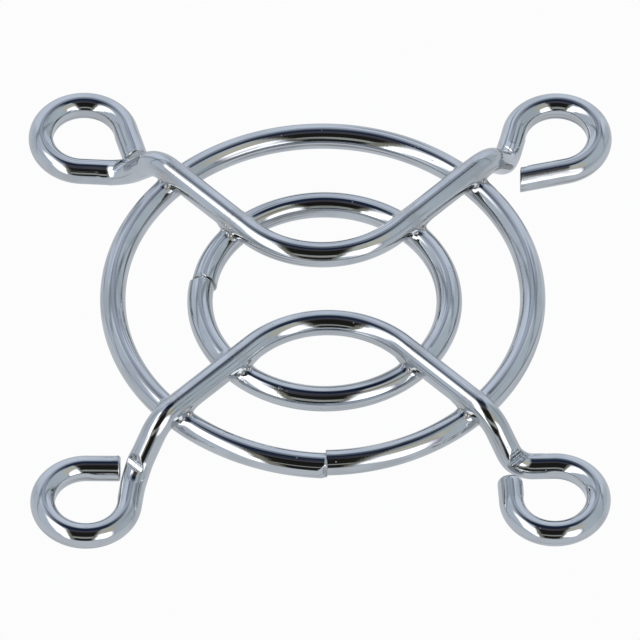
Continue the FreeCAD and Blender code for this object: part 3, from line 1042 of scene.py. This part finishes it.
def edge(first, second, inside):
    """The plane through the part along one straight edge of a panel, turned towards a direction inside it."""
    normal = heading(*first).cross(heading(*second)).normalized()
    return normal if normal.dot(inside) > 0 else -normal


def outline(corners, soft):
    """A panel's edges, from its corners."""
    middle = sum((heading(*corner) for corner in corners), Vector()).normalized()
    return [(edge(a, b, middle), soft) for a, b in zip(corners, corners[1:] + corners[:1])]


def band(sides, inside, side_soft, start, end, soft, end_soft=None):
    """A strip between sides: its angles go from the floor in front, over the top, to the floor behind."""
    lower, upper = (Vector((0, math.sin(math.radians(a)), math.cos(math.radians(a)))) for a in (start, end))
    return [*((edge(*side, heading(*inside)), side_soft) for side in sides), (lower, soft),
            (-upper, end_soft or soft)]


def panel(n, ray, edges):
    """How far a ray falls inside a flat panel with straight soft edges: 1 inside, 0 outside."""
    inside = None
    for normal, soft in edges:
        width = math.sin(math.radians(soft))
        shade = ramp(n, n.vector("DOT_PRODUCT", ray, tuple(normal)), (-width, width))
        inside = shade if inside is None else n.times(inside, shade)
    return inside


def studio_world():
    """Two white boxes with a dark gap between them in front, a dark hood above, and pale walls behind."""
    world = bpy.data.worlds.new("light_tent")
    bpy.context.scene.world = world
    world.use_nodes = True
    n = Nodes(world.node_tree)
    ray = n.add("ShaderNodeTexCoord").outputs["Generated"]
    layers = [
        ("right_wall", [(Vector((1, 0, 0)), 20)]),
        ("rear_wall", outline(REAR_WALL, 5)),
        ("fold", band(RIGHT_FOLD_SIDE, ON_THE_RIGHT, 5, 129, 134, 2.5)),
        ("fold", band(LEFT_FOLD_SIDE, ON_THE_LEFT, 5, 129, 134, 2.5)),
        ("left_box", outline(LEFT_BOX, 5)),
        ("right_box_top", outline(RIGHT_BOX_TOP, 6)),
        ("right_box_rim", outline(RIGHT_BOX_RIM, 1.5)),
        ("right_box", outline(RIGHT_BOX, 4.5)),
        ("frame", band(FRAME_SIDES, IN_FRONT, 2, 5, 97, 3)),
        ("gap", band(GAP_SIDES, IN_FRONT, 2, 6, 97, 3)),
        ("front_edge", band(GAP_SIDES, IN_FRONT, 2, 27, 40, 3)),
        ("dusk", band(GAP_SIDES, IN_FRONT, 2, 79, 97, 3)),
        ("hood", band(HOOD_SIDES, OVERHEAD, 6, 95, 126, 4, 17)),
    ]
    shown = (*RAY_COLOURS["left_wall"], 1.0)
    for name, edges in layers:
        shown = laid_over(n, shown, (*RAY_COLOURS[name], 1.0), panel(n, ray, edges))
    seen = n.add("ShaderNodeLightPath").outputs["Is Camera Ray"]
    n.put(world.node_tree.nodes["Background"].inputs["Color"], laid_over(n, shown, SEEN_WHITE, seen))


def stage_floor():
    """A white card: the camera sees it bright, and the wires see it as the shaded card below them."""
    mesh = bpy.data.meshes.new("floor")
    corners = [(x * FLOOR_HALF, y * FLOOR_HALF, -FLOOR_DROP) for x, y in ((-1, -1), (1, -1), (1, 1), (-1, 1))]
    mesh.from_pydata(corners, [], [(0, 1, 2, 3)])
    floor = linked("floor", mesh)
    material = bpy.data.materials.new("white_card")
    material.use_nodes = True
    material.node_tree.nodes.clear()
    n = Nodes(material.node_tree)
    seen = n.add("ShaderNodeLightPath").outputs["Is Camera Ray"]
    light = laid_over(n, (*RAY_COLOURS["card"], 1.0), SEEN_WHITE, seen)
    shader = n.add("ShaderNodeEmission", {"Color": light, "Strength": 1.0}).outputs[0]
    n.add("ShaderNodeOutputMaterial", {"Surface": shader})
    floor.data.materials.append(material)


def place_camera():
    camera = bpy.data.cameras.new("camera")
    camera.lens, camera.sensor_width = CAMERA_LENS, CAMERA_SENSOR
    camera.clip_start, camera.clip_end = CAMERA_SEES
    holder = linked("camera", camera)
    raised = math.radians(CAMERA_RAISED)
    back = Vector((0.0, -math.cos(raised), math.sin(raised)))
    holder.location = AIM + back * CAMERA_AWAY
    holder.rotation_mode = "QUATERNION"
    holder.rotation_quaternion = (-back).to_track_quat("-Z", "Y")
    bpy.context.scene.camera = holder


stage_floor()
studio_world()
place_camera()
bpy.context.scene.view_settings.view_transform = "Standard"
